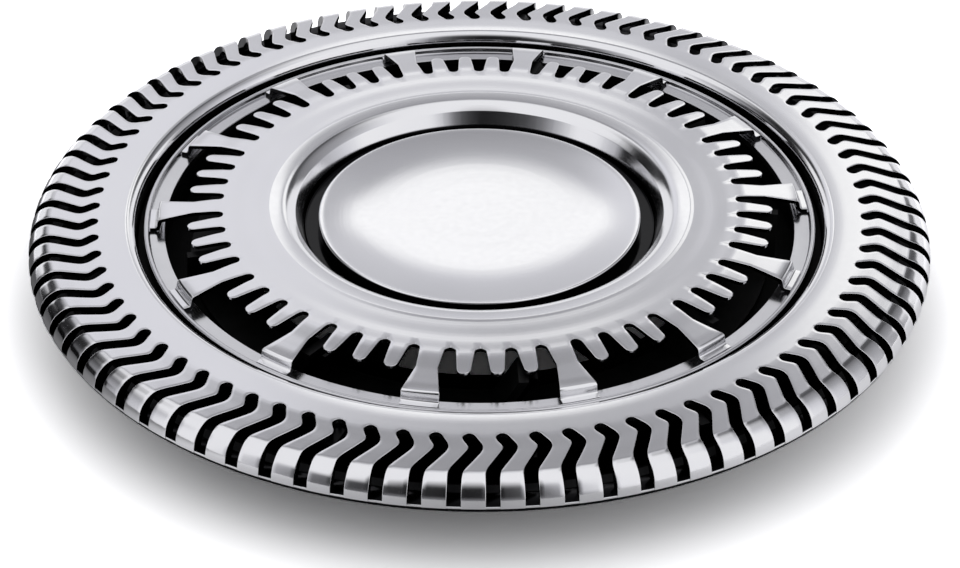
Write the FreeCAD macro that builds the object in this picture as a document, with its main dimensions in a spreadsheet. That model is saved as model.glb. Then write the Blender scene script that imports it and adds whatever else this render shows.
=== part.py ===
import FreeCAD, Part
import math
import os
from types import SimpleNamespace
import Sketcher

# Rotary shaver head, in millimetres. The origin is on the surface that the head rests on,
# at the centre, and +Z is the axis that the cutter spins about. Radii are from that axis.

doc = FreeCAD.newDocument("rotary_shaver_head")
sheet = doc.addObject("Spreadsheet::Sheet", "sizes")


class Size:
    """A length or angle: its number and the sheet expression that gives it."""

    def __init__(self, number, text):
        self.number = number
        self.text = text

    def __add__(self, other):
        other = asSize(other)
        return Size(self.number + other.number, "(%s + %s)" % (self.text, other.text))

    def __sub__(self, other):
        other = asSize(other)
        return Size(self.number - other.number, "(%s - %s)" % (self.text, other.text))

    def __mul__(self, other):
        other = asSize(other)
        return Size(self.number * other.number, "(%s * %s)" % (self.text, other.text))

    def __truediv__(self, other):
        other = asSize(other)
        return Size(self.number / other.number, "(%s / %s)" % (self.text, other.text))

    def __neg__(self):
        return Size(-self.number, "(-1 * %s)" % self.text)


def asSize(value):
    return value if isinstance(value, Size) else Size(float(value), repr(float(value)))


def sine(angle):
    return Size(math.sin(math.radians(angle.number)), "sin(%s)" % angle.text)


def cosine(angle):
    return Size(math.cos(math.radians(angle.number)), "cos(%s)" % angle.text)


def tangent(angle):
    return Size(math.tan(math.radians(angle.number)), "tan(%s)" % angle.text)


dimensions = {
    # The whole head
    "headHeight": 2.5,  # resting surface to the shaving track's top
    "runGap": 0.04,  # radial running clearance of the pivot
    "seatGap": 0.03,  # clearance between fixed pieces that slip together
    "turnGap": 0.15,  # clearance round the turning cutter
    # Outer guard cap: a drawn steel cap with a wavy slot between every two lands
    "rimRadius": 11.5,  # outside of the rim
    "rimBend": 0.572,  # how far the rim's bend reaches outwards
    "rimDepth": 0.665,  # how far the bend reaches down
    "rimLip": 0.03,  # straight edge below the bend
    "trackSheet": 0.12,  # sheet left above the blades
    "trackInner": 9.4,  # inner side of the thinned track
    "capSheet": 0.3,  # sheet of the cap elsewhere
    "capBore": 8.78,  # inner wall of the cap
    "lipBend": 0.43,  # bend between track and inner wall
    "capDepth": 1.0,  # depth of the inner wall
    "bandRadius": 11.25,  # floor of the slots in the rim
    "bandWall": 0.23,  # wall behind the slots in the rim
    "bandTop": 0.58,  # top of that wall below the track
    "bandBottom": 0.9,  # bottom of that wall below the track
    "bandLap": 0.03,  # how far lands and wall run into each other
    "slotCount": 83,  # slots round the track
    "slotWidth": 0.31,  # width of a slot
    "slotTip": 9.7,  # radius of the slots' round inner ends
    "slotLean": 31.0,  # lean of a slot's two legs, degrees
    "slotElbow": 10.17,  # radius of the slot's elbow
    "slotKnee": 10.93,  # radius where the slot turns down the rim
    "slotTail": -1.5,  # angle of the slot in the rim, degrees
    "slotBend": 0.2,  # rounding of the elbow, as one flat
    "slotTurn": -169.353,  # angle of the first slot's inner end, degrees
    # Comb disc: steel foil with spokes that step down to the support ring
    "combSheet": 0.1,  # foil of the comb disc
    "combRise": 0.045,  # comb disc above the shaving track
    "combBend": 6.84,  # where the comb disc starts to slope
    "combSlope": 4.6,  # slope of the spokes, degrees
    "combCrease": 5.43,  # radius of the pressed crease
    "creaseDrop": 0.014,  # drop of the crease
    "creaseWidth": 0.1,  # width of the crease
    "spokeCount": 14,  # spokes
    "spokeTurn": -99.55,  # angle of one spoke, degrees
    "spokeWaist": 0.51,  # spoke width at its waist
    "waistRadius": 7.32,  # radius of that waist
    "spokeRoot": 0.9,  # spoke width at its foot
    "stepRadius": 8.2,  # where a spoke steps down
    "stepRun": 0.06,  # how far the step runs outwards
    "fingerPitch": 6.117,  # angle between fingers, degrees
    "fingerEnd": 7.479,  # radius of the fingers' ends
    "fingerBend": 0.167,  # rounding of a finger's end
    "gapEnd": 6.553,  # radius of the gaps' inner ends
    "gapBend": 0.143,  # rounding of a gap's end
    "collarRadius": 4.37,  # inside of the comb disc's collar
    "collarBend": 0.42,  # bend between disc and collar
    "collarDepth": 0.8,  # depth of the collar
    "seatBore": 3.65,  # hole in the collar's floor
    # Support ring of the comb disc, and the plastic ring that joins it to the cap
    "ringInner": 8.05,  # inner edge of the support ring
    "ringOuter": 8.58,  # outside of its upturned rim
    "ringSheet": 0.15,  # sheet of the support ring
    "ringDrop": 0.4,  # its flat band below the shaving track
    "ringRim": 0.126,  # height of its rim
    "ringRimWall": 0.12,  # wall of its rim
    "linkInner": 8.1,  # inside of the link ring
    "linkFloor": 0.2,  # flange of the link ring
    "grooveDepth": 0.35,  # depth of the dark groove below the support ring's rim
    # Centre cap and its clip
    "dishRadius": 4.15,  # edge of the centre cap
    "dishDrop": 0.35,  # its edge below the shaving track
    "dishDepth": 0.18,  # hollow of the centre cap
    "dishFlat": 2.6,  # radius of its level middle
    "dishSheet": 0.15,  # sheet of the centre cap
    "clipWall": 0.3,  # wall of the clip ring
    "clipDepth": 0.25,  # how far the clip ring reaches below the collar
    "clipHook": 0.15,  # hook under the collar's floor
    # Head frame and the keeper ring that closes it from below
    "frameLip": 0.25,  # rim of the frame inside the cap
    "frameTop": 10.55,  # inside of the frame at its top
    "frameWall": 0.34,  # wall of the frame's cone
    "frameFoot": 9.25,  # outside of the frame's foot
    "frameFootBore": 8.95,  # inside of the frame's foot
    "frameConeTop": 1.25,  # height of the cone's top
    "frameFootEdge": 0.1,  # straight edge of the frame's foot
    "keeperBore": 8.3,  # bore of the keeper ring
    "keeperHeight": 0.42,  # height of the keeper ring
    "notchCount": 4,  # bayonet notches in the frame's foot
    "notchWidth": 2.2,  # width of a notch
    "notchHeight": 0.25,  # height of a notch
    # Cutter
    "webLow": 0.6,  # underside of the carrier's web
    "webTop": 1.12,  # top of the carrier's web
    "seatOuter": 10.3,  # outside of the carrier
    "seatInner": 9.62,  # inside of the outer blades' seat
    "seatHeight": 1.4,  # height of the outer blades' seat
    "bladeSheet": 0.15,  # sheet of the blade rings
    "bladeThick": 0.24,  # thickness of a blade
    "bladeRake": 30.0,  # forward lean of the blades, degrees
    "outerBladeCount": 15,  # blades under the track
    "outerBladeIn": 9.7,  # inner end of the outer blades
    "outerBladeOut": 10.42,  # outer end of the outer blades
    "innerBladeCount": 9,  # blades under the comb
    "innerBladeIn": 6.6,  # inner end of the inner blades
    "innerBladeOut": 7.6,  # outer end of the inner blades
    "bladeGap": 0.07,  # clearance over the blades
    "bladeTurn": -88.0,  # angle of one blade at rest, degrees
    "lifterSheet": 0.1,  # sheet of the lifter rings
    "lifterLead": 0.5,  # how far a lifter runs ahead of its blade
    "lifterLag": 0.12,  # lifter tips below the blades' edges
    "outerLifterInner": 9.25,  # inside of the outer lifter ring
    "outerLifterOut": 10.2,  # outer end of the outer lifters
    "innerLifterInner": 6.0,  # inside of the inner lifter ring
    "innerLifterOut": 7.3,  # outer end of the inner lifters
    "hubRadius": 2.8,  # outside of the hub
    "hubFoot": 0.5,  # hub above the resting surface
    "hubTop": 1.6,  # top of the hub
    "hairInner": 3.4,  # inner edge of the carrier's openings
    "hairOuter": 5.8,  # outer edge of the carrier's openings
    "hairCount": 5,  # openings in the carrier
    "armWidth": 1.1,  # arms between those openings
    "bushRadius": 1.9,  # outside of the drive bush
    "socketRadius": 1.2,  # drive socket
    "socketDepth": 0.7,  # depth of the drive socket
    "keyWidth": 0.5,  # drive keyways
    "keyReach": 1.55,  # reach of the keyways
    "pivotRadius": 0.6,  # pivot pin
    "pivotHead": 1.4,  # head of the pivot pin, and outside of its bush
    "pivotDepth": 0.2,  # pin in its bush
    "washerSheet": 0.07,  # thrust washer
    "washerRadius": 1.5,  # outside of the thrust washer
    "rivetRadius": 0.2,  # radius of a rivet
    "rivetRise": 0.06,  # rivet above the blades' plate
    "rivetGrip": 0.15,  # rivet in the carrier
    "outerRivetRadius": 9.88,  # circle of the outer rivets
    "outerRivetCount": 5,  # outer rivets
    "outerRivetLag": 7.0,  # rivet behind its blade, degrees
    "innerRivetRadius": 7.0,  # circle of the inner rivets
    "innerRivetCount": 3,  # inner rivets
    "innerRivetLag": 16.0,  # rivet behind its blade, degrees
}
for row, (alias, number) in enumerate(dimensions.items(), 1):
    sheet.set("A%d" % row, alias)
    sheet.set("B%d" % row, str(number))
    sheet.setAlias("B%d" % row, alias)
doc.recompute()
d = SimpleNamespace(**{alias: Size(float(number), "sizes." + alias) for alias, number in dimensions.items()})
none = asSize(0)


def planeOf(body, role):
    for feature in body.Origin.OriginFeatures:
        if feature.Role == role:
            return feature
    raise RuntimeError("no plane " + role)


def newBody(name):
    body = doc.addObject("PartDesign::Body", name)
    body.Label = name
    return body


def outline(body, name, role, corners, bends=None, lift=None):
    """A closed sketch through corners. Every corner is placed by sheet expressions, and bends
    gives the radius of the arc that leaves a corner, negative where it turns clockwise."""
    bends = bends or {}
    sketch = body.newObject("Sketcher::SketchObject", name)
    sketch.AttachmentSupport = (planeOf(body, role), "")
    sketch.MapMode = "FlatFace"
    if lift is not None:
        sketch.setExpression("AttachmentOffset.Base.z", lift.text)
    spots = [FreeCAD.Vector(asSize(c[0]).number, asSize(c[1]).number, 0) for c in corners]
    sides = len(spots)
    for i in range(sides):
        start, end = spots[i], spots[(i + 1) % sides]
        if i in bends:
            sketch.addGeometry(arcBetween(start, end, bends[i].number), False)
        else:
            sketch.addGeometry(Part.LineSegment(start, end), False)
    ends = [(2, 1) if i in bends and bends[i].number < 0 else (1, 2) for i in range(sides)]
    for i in range(sides):
        after = (i + 1) % sides
        sketch.addConstraint(Sketcher.Constraint("Coincident", i, ends[i][1], after, ends[after][0]))
    for i in range(sides):
        for kind, axis in (("DistanceX", 0), ("DistanceY", 1)):
            size = asSize(corners[i][axis])
            row = sketch.addConstraint(Sketcher.Constraint(kind, -1, 1, i, ends[i][0], size.number))
            if "sizes." in size.text:
                sketch.setExpression("Constraints[%d]" % row, size.text)
    for i, bend in bends.items():
        if isHalfTurn(spots[i], spots[(i + 1) % sides], bend.number):
            sketch.addConstraint(Sketcher.Constraint("Symmetric", i, 1, i, 2, i, 3))
            continue
        size = bend if bend.number > 0 else -bend
        row = sketch.addConstraint(Sketcher.Constraint("Radius", i, size.number))
        sketch.setExpression("Constraints[%d]" % row, size.text)
    return sketch


def isHalfTurn(start, end, radius):
    return abs((end - start).Length / 2 - abs(radius)) < 1e-6


def arcBetween(start, end, radius):
    """The short arc from start to end, counter-clockwise where radius is positive."""
    if radius < 0:
        start, end = end, start
    half = (end - start) * 0.5
    away = FreeCAD.Vector(-half.y, half.x, 0).normalize()
    centre = start + half + away * math.sqrt(max(radius ** 2 - half.Length ** 2, 0))
    first = math.atan2(start.y - centre.y, start.x - centre.x)
    last = math.atan2(end.y - centre.y, end.x - centre.x)
    circle = Part.Circle(centre, FreeCAD.Vector(0, 0, 1), abs(radius))
    return Part.ArcOfCircle(circle, first, last if last > first else last + 2 * math.pi)


def axisOf(body, role):
    for feature in body.Origin.OriginFeatures:
        if feature.Role == role:
            return feature
    raise RuntimeError("no axis " + role)


def turned(body, name, corners, bends=None):
    """Revolve a section, given as radius and height, about the head's axis."""
    sketch = outline(body, name + "Section", "XZ_Plane", corners, bends)
    feature = body.newObject("PartDesign::Revolution", name)
    feature.Profile = sketch
    feature.ReferenceAxis = (axisOf(body, "Z_Axis"), [""])
    feature.Angle = 360
    doc.recompute()
    return feature


def cutThrough(body, name, corners, bends=None, low=None, high=None):
    """Pocket a sketch in plan view from the height high down to low."""
    before = body.Shape.Volume
    sketch = outline(body, name + "Plan", "XY_Plane", corners, bends, high)
    feature = body.newObject("PartDesign::Pocket", name)
    feature.Profile = sketch
    feature.setExpression("Length", (high - low).text)
    feature.Length = (high - low).number
    doc.recompute()
    if body.Shape.Volume >= before:
        raise RuntimeError(name + " cuts nothing")
    return feature


def ringOf(body, name, features, count):
    """Repeat features evenly round the head's axis."""
    pattern = body.newObject("PartDesign::PolarPattern", name)
    pattern.Originals = features
    pattern.Axis = (axisOf(body, "Z_Axis"), [""])
    pattern.Angle = 360
    pattern.Occurrences = int(count.number)
    pattern.setExpression("Occurrences", count.text)
    body.Tip = pattern
    doc.recompute()
    return pattern


def turnBody(body, angle):
    """Turn the whole piece about the head's axis."""
    turn = FreeCAD.Rotation(FreeCAD.Vector(0, 0, 1), angle.number)
    body.Placement = FreeCAD.Placement(FreeCAD.Vector(), turn)
    body.setExpression("Placement.Rotation.Angle", angle.text)


def polar(radius, angle, across=none):
    """A point at a radius and angle, moved across that radius."""
    return (radius * cosine(angle) - sine(angle) * across, radius * sine(angle) + cosine(angle) * across)


def bendCorners(centre, across, up, first, last):
    """Four corners that follow a bend round a centre, between two directions in degrees."""
    first, last = asSize(first), asSize(last)
    corners = []
    for step in range(4):
        angle = first + (last - first) * (step / 3)
        corners.append((centre[0] + across * cosine(angle), centre[1] + up * sine(angle)))
    return corners


# Heights that several pieces share
bendRadius = d.rimRadius - d.rimBend
rimBottom = d.headHeight - d.rimDepth - d.rimLip
bandHigh = d.headHeight - d.bandTop
bandLow = d.headHeight - d.bandBottom
ringTop = d.headHeight - d.ringDrop
ringLow = ringTop - d.ringSheet
capFoot = d.headHeight - d.capDepth
combTop = d.headHeight + d.combRise
combFall = tangent(d.combSlope)


def outerGuardCap():
    body = newBody("outer_guard_cap")
    inside = d.bandRadius - d.bandLap
    lip = bendCorners((d.capBore + d.lipBend, d.headHeight - d.lipBend), d.lipBend, d.lipBend, 180, 90)
    rim = bendCorners((bendRadius, d.headHeight - d.rimDepth), d.rimBend, d.rimDepth, 90, 0)
    turned(body, "capShell", [(d.capBore, capFoot)] + lip + rim + [
        (d.rimRadius, rimBottom), (inside, rimBottom), (inside, bandHigh),
        (bendRadius, d.headHeight - d.trackSheet), (d.trackInner, d.headHeight - d.trackSheet),
        (d.trackInner, d.headHeight - d.capSheet), (d.capBore + d.capSheet, d.headHeight - d.capSheet),
        (d.capBore + d.capSheet, capFoot),
    ])
    cut = cutThrough(body, "wavySlot", wavySlot(), None, rimBottom - d.turnGap, d.headHeight + d.turnGap)
    ringOf(body, "wavySlots", [cut], d.slotCount)
    turned(body, "rimBand", [
        (d.bandRadius - d.bandWall, bandLow), (d.bandRadius, bandLow),
        (d.bandRadius, bandHigh), (d.bandRadius - d.bandWall, bandHigh),
    ])
    turnBody(body, d.slotTurn)
    return body


def wavySlot():
    """Plan of one slot along +X: a round end, two legs that lean opposite ways, and a tail that
    runs straight out over the rim. Both sides keep the same width."""
    half = d.slotWidth / 2
    start = (d.slotTip + half, none)
    elbow = (d.slotElbow, (d.slotElbow - start[0]) * tangent(d.slotLean))
    knee = polar(d.slotKnee, d.slotTail)
    reach = half / cosine(d.slotLean)
    flat = d.slotBend * tangent(d.slotLean)
    runOut = (d.rimRadius + d.rimBend) / d.slotKnee
    sides = []
    for side in (-1, 1):
        corner = elbow[1] + reach * side
        tail = (knee[0] - sine((d.slotTail - d.slotLean) / 2) * half * side, knee[1] + half * side)
        sides.append([
            (elbow[0] - cosine(d.slotLean) * flat, corner - sine(d.slotLean) * flat),
            (elbow[0] + cosine(d.slotLean) * flat, corner - sine(d.slotLean) * flat),
            tail, (tail[0] * runOut, tail[1] * runOut),
        ])
    right, left = sides
    return right + left[::-1] + bendCorners(start, half, half, d.slotLean + 90, d.slotLean + 270)


def combDisc():
    body = newBody("comb_disc")
    stepTop = combTop - (d.stepRadius - d.combBend) * combFall
    footTop = ringTop + d.combSheet
    footEnd = d.ringOuter - d.ringRimWall - d.seatGap
    collarFloor = combTop - d.collarDepth
    shoulder = d.collarRadius + d.collarBend
    crease = d.combCrease + d.creaseWidth
    creaseTop = combTop + d.creaseDrop
    innerBend = d.collarBend - d.combSheet
    turned(body, "combSheetForm", [
        (d.seatBore, collarFloor), (d.collarRadius + d.combSheet, collarFloor)
    ] + bendCorners((shoulder, creaseTop - d.collarBend), innerBend, innerBend, 180, 90) + [
        (d.combCrease, creaseTop - d.combSheet), (crease, combTop - d.combSheet),
        (d.combBend, combTop - d.combSheet), (d.stepRadius, stepTop - d.combSheet),
        (d.stepRadius + d.stepRun - d.combSheet, ringTop), (footEnd, ringTop), (footEnd, footTop),
        (d.stepRadius + d.stepRun, footTop), (d.stepRadius + d.combSheet / 2, stepTop), (d.combBend, combTop),
        (crease, combTop), (d.combCrease, creaseTop),
    ] + bendCorners((shoulder, creaseTop - d.collarBend), d.collarBend, d.collarBend, 90, 180) + [
        (d.collarRadius, collarFloor + d.combSheet), (d.seatBore, collarFloor + d.combSheet),
    ])
    cut = cutThrough(body, "combWindow", combWindow(), None, ringTop - d.turnGap, combTop + d.turnGap)
    ringOf(body, "combWindows", [cut], d.spokeCount)
    turnBody(body, d.spokeTurn + asSize(180) / d.spokeCount)
    return body


def combWindow():
    """Plan of one opening between two spokes, centred on +X: three fingers and four gaps on its
    inner side, and the flaring sides of the spokes."""
    half = asSize(180) / d.spokeCount
    gapRadius = d.gapEnd + d.gapBend
    fingerRadius = d.fingerEnd - d.fingerBend
    beyond = d.ringOuter + d.turnGap
    corners = [polar(beyond, half, -d.spokeRoot / 2), polar(d.stepRadius, half, -d.spokeRoot / 2),
               polar(d.waistRadius, half, -d.spokeWaist / 2)]
    for place in range(3, -4, -1):
        angle = d.fingerPitch * (place / 2)
        if place % 2:
            radius, bend, last = gapRadius, d.gapBend, angle + 270
        else:
            radius, bend, last = fingerRadius, d.fingerBend, angle - 90
        corners += bendCorners(polar(radius, angle), bend, bend, angle + 90, last)
    corners += [polar(d.waistRadius, -half, d.spokeWaist / 2), polar(d.stepRadius, -half, d.spokeRoot / 2),
                polar(beyond, -half, d.spokeRoot / 2)]
    return corners


def combSupportRing():
    body = newBody("comb_support_ring")
    rimInner = d.ringOuter - d.ringRimWall
    turned(body, "ringSection", [
        (d.ringInner, ringLow), (d.ringOuter, ringLow), (d.ringOuter, ringTop + d.ringRim),
        (rimInner, ringTop + d.ringRim), (rimInner, ringTop), (d.ringInner, ringTop),
    ])
    return body


def linkRing():
    body = newBody("link_ring")
    low = capFoot - d.linkFloor
    groove = ringTop + d.ringRim - d.grooveDepth
    turned(body, "linkSection", [
        (d.linkInner, low), (d.capBore + d.capSheet, low), (d.capBore + d.capSheet, capFoot),
        (d.capBore - d.seatGap, capFoot), (d.capBore - d.seatGap, groove), (d.ringOuter, groove),
        (d.ringOuter, ringLow), (d.linkInner, ringLow),
    ])
    return body


def centreCap():
    body = newBody("centre_cap")
    edge = d.headHeight - d.dishDrop
    floor = edge - d.dishDepth
    seat = combTop - d.collarDepth + d.combSheet
    turned(body, "dishSection", [
        (none, floor - d.dishSheet), (d.dishFlat, floor - d.dishSheet),
        (d.dishRadius - d.dishSheet * 2, edge - d.dishSheet * 1.5),
        (d.dishRadius - d.dishSheet, seat), (d.dishRadius, seat), (d.dishRadius, edge - d.dishSheet / 2),
        (d.dishRadius - d.dishSheet / 2, edge), (d.dishRadius - d.dishSheet, edge), (d.dishFlat, floor), (none, floor),
    ])
    return body


def centreClipRing():
    body = newBody("centre_clip_ring")
    floor = combTop - d.collarDepth
    outer = d.seatBore - d.seatGap
    top = floor + d.combSheet
    turned(body, "clipSection", [
        (outer - d.clipWall, floor - d.clipDepth), (outer, floor - d.clipDepth), (outer + d.clipHook, floor),
        (outer, floor), (outer, top), (outer - d.clipWall, top),
    ])
    return body


def headFrame():
    body = newBody("head_frame")
    lipOuter = d.bandRadius - d.bandWall - d.seatGap
    shelf = bandLow
    coneLow = d.keeperHeight
    turned(body, "frameSection", [
        (d.frameFootBore, none), (d.frameFoot, none), (d.frameFoot, d.frameFootEdge),
        (d.frameTop + d.frameWall * 0.75, d.frameConeTop), (d.bandRadius - d.bandLap * 2, shelf),
        (lipOuter, shelf), (lipOuter, shelf + d.frameLip), (d.frameTop + d.frameWall / 2, shelf + d.frameLip),
        (d.frameTop, d.frameConeTop + d.turnGap), (d.frameTop, d.frameConeTop),
        (d.frameFootBore + d.frameWall, coneLow),
        (d.frameFootBore, coneLow),
    ])
    notch = cutThrough(body, "notch", [
        (d.frameFootBore - d.turnGap, -d.notchWidth / 2), (d.frameFoot + d.frameWall, -d.notchWidth / 2),
        (d.frameFoot + d.frameWall, d.notchWidth / 2), (d.frameFootBore - d.turnGap, d.notchWidth / 2),
    ], None, -d.turnGap, d.notchHeight)
    ringOf(body, "notches", [notch], d.notchCount)
    return body


def keeperRing():
    body = newBody("keeper_ring")
    turned(body, "keeperSection", [
        (d.keeperBore, none), (d.frameFootBore, none),
        (d.frameFootBore, d.keeperHeight), (d.keeperBore, d.keeperHeight),
    ])
    return body


def cutterCarrier():
    body = newBody("cutter_carrier")
    coneRise = (d.frameConeTop - d.keeperHeight) / (d.frameTop - d.frameFootBore - d.frameWall)
    rimLow = d.frameConeTop + d.turnGap - (d.frameTop - d.seatOuter) * coneRise
    coneFoot = d.seatOuter - (rimLow - d.webLow) / coneRise
    ledgeOuter = d.innerBladeIn - d.turnGap
    ledgeTop = d.webTop + d.bladeSheet
    turned(body, "carrierSection", [
        (d.bushRadius, d.hubFoot), (d.hubRadius, d.hubFoot), (d.hubRadius, d.webLow), (coneFoot, d.webLow),
        (d.seatOuter, rimLow), (d.seatOuter, d.seatHeight), (d.seatInner, d.seatHeight),
        (d.seatInner, outerLifterSeat),
        (d.outerLifterInner, outerLifterSeat), (d.outerLifterInner, d.webTop), (ledgeOuter, d.webTop),
        (ledgeOuter, ledgeTop), (d.innerLifterInner, ledgeTop), (d.innerLifterInner, d.webTop),
        (d.hubRadius, d.webTop),
        (d.hubRadius, d.hubTop), (d.pivotHead, d.hubTop), (d.pivotHead, bushTop), (d.bushRadius, bushTop),
    ])
    half = asSize(180) / d.hairCount
    inner = polar(d.hairInner, half, -d.armWidth / 2)
    outer = polar(d.hairOuter, half, -d.armWidth / 2)
    cut = cutThrough(body, "hairOpening", [(inner[0], -inner[1]), (outer[0], -outer[1]), outer, inner],
                     {1: d.hairOuter, 3: -d.hairInner}, d.webLow - d.turnGap, d.webTop + d.turnGap)
    ringOf(body, "hairOpenings", [cut], d.hairCount)
    rivetHoles(body, "outer", d.outerRivetRadius, d.outerRivetLag, d.outerRivetCount,
               d.seatHeight - d.rivetGrip, d.seatHeight)
    rivetHoles(body, "inner", d.innerRivetRadius, d.innerRivetLag, d.innerRivetCount,
               d.webTop - d.rivetGrip, d.webTop)
    turnBody(body, d.bladeTurn)
    return body


def circleAt(radius, angle, size):
    """Two half circles round a point at a radius and angle."""
    across, along = polar(radius, -angle)
    return [(across - size, along), (across + size, along)], {0: size, 1: size}


def rivetHoles(body, name, radius, lag, count, low, high):
    corners, bends = circleAt(radius, lag, d.rivetRadius)
    hole = cutThrough(body, name + "RivetHole", corners, bends, low, high)
    ringOf(body, name + "RivetHoles", [hole], count)


def rivets(name, radius, lag, count, seat):
    """A ring of rivets that run from the carrier through the blades' plate."""
    body = newBody(name)
    body.AllowCompound = True
    low, high = seat - d.rivetGrip, seat + d.bladeSheet + d.rivetRise
    corners, bends = circleAt(radius, lag, d.rivetRadius)
    pad = body.newObject("PartDesign::Pad", name + "Shank")
    pad.Profile = outline(body, name + "Plan", "XY_Plane", corners, bends, low)
    pad.Length = (high - low).number
    pad.setExpression("Length", (high - low).text)
    doc.recompute()
    ringOf(body, name + "Ring", [pad], count)
    turnBody(body, d.bladeTurn)
    return body


def bladeRing(name, plate, blade, low, sheetSize, thick, top, count, lead, holes=None):
    """A flat ring with upright blades that lean the way the cutter turns. plate and blade give
    the inner and outer radius of each."""
    body = newBody(name)
    turned(body, name + "Plate", [
        (plate[0], low), (plate[1], low), (plate[1], low + sheetSize), (plate[0], low + sheetSize),
    ])
    if holes:
        rivetHoles(body, name, holes[0], holes[1], holes[2], low - d.turnGap, low + sheetSize + d.turnGap)
    foot = low + sheetSize / 2
    shift = (top - foot) * tangent(d.bladeRake)
    pad = body.newObject("PartDesign::Pad", name + "Blade")
    pad.Profile = outline(body, name + "BladeSide", "YZ_Plane", [
        (lead, foot), (lead + thick, foot), (lead + thick + shift, top), (lead + shift, top),
    ], None, blade[0])
    pad.Length = (blade[1] - blade[0]).number
    pad.setExpression("Length", (blade[1] - blade[0]).text)
    doc.recompute()
    ringOf(body, name + "Blades", [pad], count)
    turnBody(body, d.bladeTurn)
    return body


def driveBush():
    body = newBody("drive_bush")
    roof = d.hubFoot + d.socketDepth
    turned(body, "bushSection", [
        (d.socketRadius, d.hubFoot), (d.bushRadius, d.hubFoot), (d.bushRadius, bushTop), (none, bushTop),
        (none, roof), (d.socketRadius, roof),
    ])
    cutThrough(body, "keyway", [
        (-d.keyReach, -d.keyWidth / 2), (d.keyReach, -d.keyWidth / 2), (d.keyReach, d.keyWidth / 2), (-d.keyReach, d.keyWidth / 2),
    ], None, d.hubFoot - d.turnGap, roof)
    turnBody(body, d.bladeTurn)
    return body


def pivotBush():
    body = newBody("pivot_bush")
    bore = d.pivotRadius + d.runGap
    turned(body, "pivotBushSection", [
        (bore, bushTop), (d.pivotHead, bushTop), (d.pivotHead, d.hubTop), (bore, d.hubTop),
    ])
    return body


def thrustWasher():
    body = newBody("thrust_washer")
    bore = d.pivotRadius + d.runGap
    turned(body, "washerSection", [
        (bore, d.hubTop), (d.washerRadius, d.hubTop), (d.washerRadius, d.hubTop + d.washerSheet), (bore, d.hubTop + d.washerSheet),
    ])
    return body


def pivotPin():
    body = newBody("pivot_pin")
    top = d.headHeight - d.dishDrop - d.dishDepth - d.dishSheet
    headLow = d.hubTop + d.washerSheet + d.runGap
    turned(body, "pinSection", [
        (none, d.hubTop - d.pivotDepth), (d.pivotRadius, d.hubTop - d.pivotDepth), (d.pivotRadius, headLow),
        (d.pivotHead, headLow), (d.pivotHead, top), (none, top),
    ])
    return body


# Heights in the cutter that several of its pieces share
bushTop = d.hubFoot + d.socketDepth + (d.hubTop - d.hubFoot - d.socketDepth) / 2
outerLifterSeat = d.seatHeight + d.bladeSheet
innerLifterSeat = d.webTop + d.bladeSheet
outerEdge = d.headHeight - d.trackSheet - d.bladeGap
innerEdge = combTop - d.combSheet - (d.innerBladeOut - d.combBend) * combFall - d.bladeGap

pieces = [
    outerGuardCap(), combDisc(), combSupportRing(), linkRing(), centreCap(), centreClipRing(), pivotPin(),
    headFrame(), keeperRing(), cutterCarrier(), driveBush(), pivotBush(), thrustWasher(),
    bladeRing("outer_blade_ring", (d.seatInner, d.seatOuter - d.turnGap), (d.outerBladeIn, d.outerBladeOut), d.seatHeight,
              d.bladeSheet, d.bladeThick, outerEdge, d.outerBladeCount, none,
              (d.outerRivetRadius, d.outerRivetLag, d.outerRivetCount)),
    bladeRing("inner_blade_ring", (d.innerBladeIn - d.turnGap, d.innerBladeOut - d.turnGap), (d.innerBladeIn, d.innerBladeOut),
              d.webTop, d.bladeSheet, d.bladeThick, innerEdge, d.innerBladeCount, none,
              (d.innerRivetRadius, d.innerRivetLag, d.innerRivetCount)),
    bladeRing("outer_lifter_ring", (d.outerLifterInner, d.seatInner), (d.outerLifterInner + d.turnGap, d.outerLifterOut),
              outerLifterSeat, d.lifterSheet, d.lifterSheet, outerEdge - d.lifterLag, d.outerBladeCount, d.lifterLead),
    bladeRing("inner_lifter_ring", (d.innerLifterInner, d.innerBladeIn - d.turnGap),
              (d.innerLifterInner + d.turnGap, d.innerLifterOut), innerLifterSeat, d.lifterSheet, d.lifterSheet,
              innerEdge - d.lifterLag, d.innerBladeCount, d.lifterLead),
    rivets("outer_blade_rivets", d.outerRivetRadius, d.outerRivetLag, d.outerRivetCount, d.seatHeight),
    rivets("inner_blade_rivets", d.innerRivetRadius, d.innerRivetLag, d.innerRivetCount, d.webTop),
]

doc.recompute()
for item in doc.Objects:
    if "Invalid" in item.State or "Error" in item.State:
        raise RuntimeError(item.Name + " failed: " + ", ".join(item.State))
os.makedirs("parts", exist_ok=True)
for piece in pieces:
    shape = piece.Shape
    if shape.isNull() or not shape.isValid():
        raise RuntimeError(piece.Label + " has no valid shape")
    shape.exportStep("parts/" + piece.Label + ".step")
    print(piece.Label, len(shape.Solids), "solid, volume", round(shape.Volume, 3))
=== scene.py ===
import math

import bpy
import numpy as np
from mathutils import Matrix, Vector


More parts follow.
